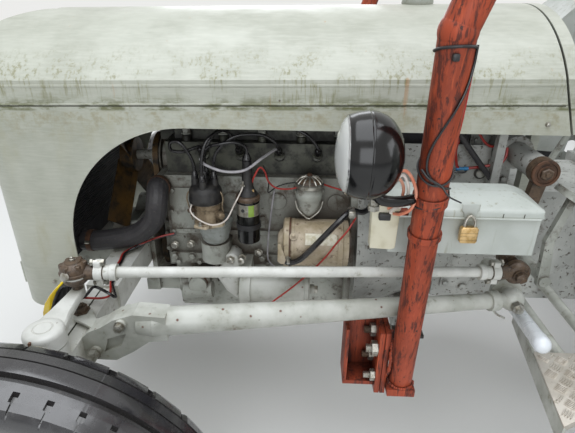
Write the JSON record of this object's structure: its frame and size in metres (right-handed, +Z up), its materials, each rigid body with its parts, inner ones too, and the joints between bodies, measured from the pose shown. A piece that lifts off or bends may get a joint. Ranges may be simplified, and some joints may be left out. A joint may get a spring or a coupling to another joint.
{
  "type": "vintage tractor",
  "caption": "Light grey vintage utility tractor with open engine sides, ribbed front tyres, lugged rear tyres, a tilting bonnet and a red roll-over hoop.",
  "frame": {"origin": "on the ground, at the centre of the whole tractor's bounding box seen from above", "axes": "+X runs from the nose to the tail, +Y to the tractor's right, +Z up"},
  "size_m": [2.921, 1.6, 1.9867],
  "materials": {
    "grey_paint": "weathered light grey enamel",
    "engine_paint": "grey engine enamel under oil and dust",
    "red_paint": "chalky red oxide",
    "black_paint": "gloss black enamel",
    "brown_paint": "dusty brown film",
    "black_rubber": "matt rubber",
    "tyre_rubber": "wet worn tread",
    "rusty_iron": "rusty casting",
    "plate_aluminium": "dull chequer plate"
  },
  "bodies": {
    "chassis": {"engine_block": "engine_paint", "cylinder_head": "engine_paint", "sump": "engine_paint", "distributor": "black_paint", "plug_leads": "black_rubber", "ignition_coil": "black_paint", "starter_motor": "brown_paint", "oil_filter": "grey_paint", "oil_filler": "engine_paint", "manifold": "rusty_iron", "exhaust_pipe": "rusty_iron", "dynamo": "engine_paint", "cooling_fan": "black_paint", "radiator": "black_paint", "coolant_hoses": "black_rubber", "front_support": "engine_paint", "axle_beam": "engine_paint", "radius_rods": "engine_paint", "clutch_housing": "engine_paint", "rear_transmission": "engine_paint", "rear_axle": "engine_paint", "steering_box": "engine_paint", "dash_panel": "grey_paint", "fuel_tank": "engine_paint", "battery": "black_paint", "tool_box": "grey_paint", "seat": "grey_paint", "fenders": "grey_paint", "footplates": "plate_aluminium", "controls": "engine_paint", "roll_hoop": "red_paint", "hoop_brackets": "engine_paint", "headlamps": "black_paint", "marker_lamps": "engine_paint"},
    "knuckle_left": {"knuckle_left": "engine_paint"},
    "front_wheel_left": {"front_rim_left": "grey_paint", "front_tyre_left": "tyre_rubber"},
    "rear_wheel_left": {"rear_rim_left": "grey_paint", "rear_tyre_left": "tyre_rubber"},
    "drag_link_left": {"drag_link_left": "engine_paint"},
    "drop_arm_left": {"drop_arm_left": "engine_paint"},
    "lift_rod_left": {"lift_rod_left": "engine_paint"},
    "lower_link_left": {"lower_link_left": "engine_paint"},
    "knuckle_right": {"knuckle_right": "engine_paint"},
    "front_wheel_right": {"front_rim_right": "grey_paint", "front_tyre_right": "tyre_rubber"},
    "rear_wheel_right": {"rear_rim_right": "grey_paint", "rear_tyre_right": "tyre_rubber"},
    "drag_link_right": {"drag_link_right": "engine_paint"},
    "drop_arm_right": {"drop_arm_right": "engine_paint"},
    "lift_rod_right": {"lift_rod_right": "engine_paint"},
    "lower_link_right": {"lower_link_right": "engine_paint"},
    "steering_wheel": {"steering_wheel": "black_paint"},
    "bonnet": {"bonnet": "grey_paint", "radiator_grille": "grey_paint"},
    "tool_box_lid": {"tool_box_lid": "grey_paint"},
    "lift_arms": {"lift_arms": "engine_paint"}
  },
  "joints": [
    {"name": "steer_left", "type": "hinge", "parent": "chassis", "child": "knuckle_left", "pos_m": [-1.1155, -0.555, 0.345], "axis": [0, 0, 1], "range_deg": [-30, 30]},
    {"name": "steer_right", "type": "hinge", "parent": "chassis", "child": "knuckle_right", "pos_m": [-1.1155, 0.555, 0.345], "axis": [0, 0, 1], "range_deg": [-30, 30]},
    {"name": "front_wheel_spin_left", "type": "hinge", "parent": "knuckle_left", "child": "front_wheel_left", "pos_m": [-1.1155, -0.711, 0.345], "axis": [0, 1, 0], "continuous": true},
    {"name": "rear_wheel_spin_left", "type": "hinge", "parent": "chassis", "child": "rear_wheel_left", "pos_m": [0.6625, -0.66, 0.625], "axis": [0, 1, 0], "continuous": true},
    {"name": "drop_arm_swing_left", "type": "hinge", "parent": "chassis", "child": "drop_arm_left", "pos_m": [-0.1875, -0.285, 0.835], "axis": [0, 1, 0], "range_deg": [-19, 19]},
    {"name": "drag_link_turn_left", "type": "hinge", "parent": "knuckle_left", "child": "drag_link_left", "pos_m": [-1.1135, -0.426, 0.654], "axis": [0, 0, 1], "range_deg": [-30, 30]},
    {"name": "front_wheel_spin_right", "type": "hinge", "parent": "knuckle_right", "child": "front_wheel_right", "pos_m": [-1.1155, 0.711, 0.345], "axis": [0, 1, 0], "continuous": true},
    {"name": "rear_wheel_spin_right", "type": "hinge", "parent": "chassis", "child": "rear_wheel_right", "pos_m": [0.6625, 0.66, 0.625], "axis": [0, 1, 0], "continuous": true},
    {"name": "drop_arm_swing_right", "type": "hinge", "parent": "chassis", "child": "drop_arm_right", "pos_m": [-0.1875, 0.285, 0.835], "axis": [0, 1, 0], "range_deg": [-19, 19]},
    {"name": "drag_link_turn_right", "type": "hinge", "parent": "knuckle_right", "child": "drag_link_right", "pos_m": [-1.1135, 0.426, 0.654], "axis": [0, 0, 1], "range_deg": [-30, 30]},
    {"name": "steering_wheel_turn", "type": "hinge", "parent": "chassis", "child": "steering_wheel", "pos_m": [0.16807, 0, 1.08843], "axis": [0.788, 0, 0.6157], "range_deg": [-330, 330]},
    {"name": "bonnet_tilt", "type": "hinge", "parent": "chassis", "child": "bonnet", "pos_m": [-1.3305, 0, 0.502], "axis": [0, -1, 0], "range_deg": [0, 70]},
    {"name": "tool_box_lid_tilt", "type": "hinge", "parent": "chassis", "child": "tool_box_lid", "pos_m": [-0.3665, -0.296, 0.788], "axis": [-1, 0, 0], "range_deg": [0, 82]},
    {"name": "lift_arms_swing", "type": "hinge", "parent": "chassis", "child": "lift_arms", "pos_m": [0.7565, 0, 0.842], "axis": [0, -1, 0], "range_deg": [0, 50]},
    {"name": "lift_rod_swing_left", "type": "hinge", "parent": "lift_arms", "child": "lift_rod_left", "pos_m": [1.02839, -0.27, 0.71521], "axis": [0, -1, 0], "range_deg": [-50, 0]},
    {"name": "lower_link_lift_left", "type": "hinge", "parent": "chassis", "child": "lower_link_left", "pos_m": [0.6865, -0.214, 0.44], "axis": [0, -1, 0], "range_deg": [0, 37]},
    {"name": "lift_rod_swing_right", "type": "hinge", "parent": "lift_arms", "child": "lift_rod_right", "pos_m": [1.02839, 0.27, 0.71521], "axis": [0, -1, 0], "range_deg": [-50, 0]},
    {"name": "lower_link_lift_right", "type": "hinge", "parent": "chassis", "child": "lower_link_right", "pos_m": [0.6865, 0.214, 0.44], "axis": [0, -1, 0], "range_deg": [0, 37]}
  ],
  "couplings": [
    {"joint": "steer_right", "follows": "steer_left", "ratio": 1},
    {"joint": "drop_arm_swing_left", "follows": "steer_left", "ratio": 0.62},
    {"joint": "drag_link_turn_left", "follows": "steer_left", "ratio": -1},
    {"joint": "drop_arm_swing_right", "follows": "steer_left", "ratio": -0.62},
    {"joint": "drag_link_turn_right", "follows": "steer_left", "ratio": -1},
    {"joint": "steering_wheel_turn", "follows": "steer_left", "ratio": 11},
    {"joint": "lift_rod_swing_left", "follows": "lift_arms_swing", "ratio": -1},
    {"joint": "lower_link_lift_left", "follows": "lift_arms_swing", "ratio": 0.73},
    {"joint": "lift_rod_swing_right", "follows": "lift_arms_swing", "ratio": -1},
    {"joint": "lower_link_lift_right", "follows": "lift_arms_swing", "ratio": 0.73}
  ]
}
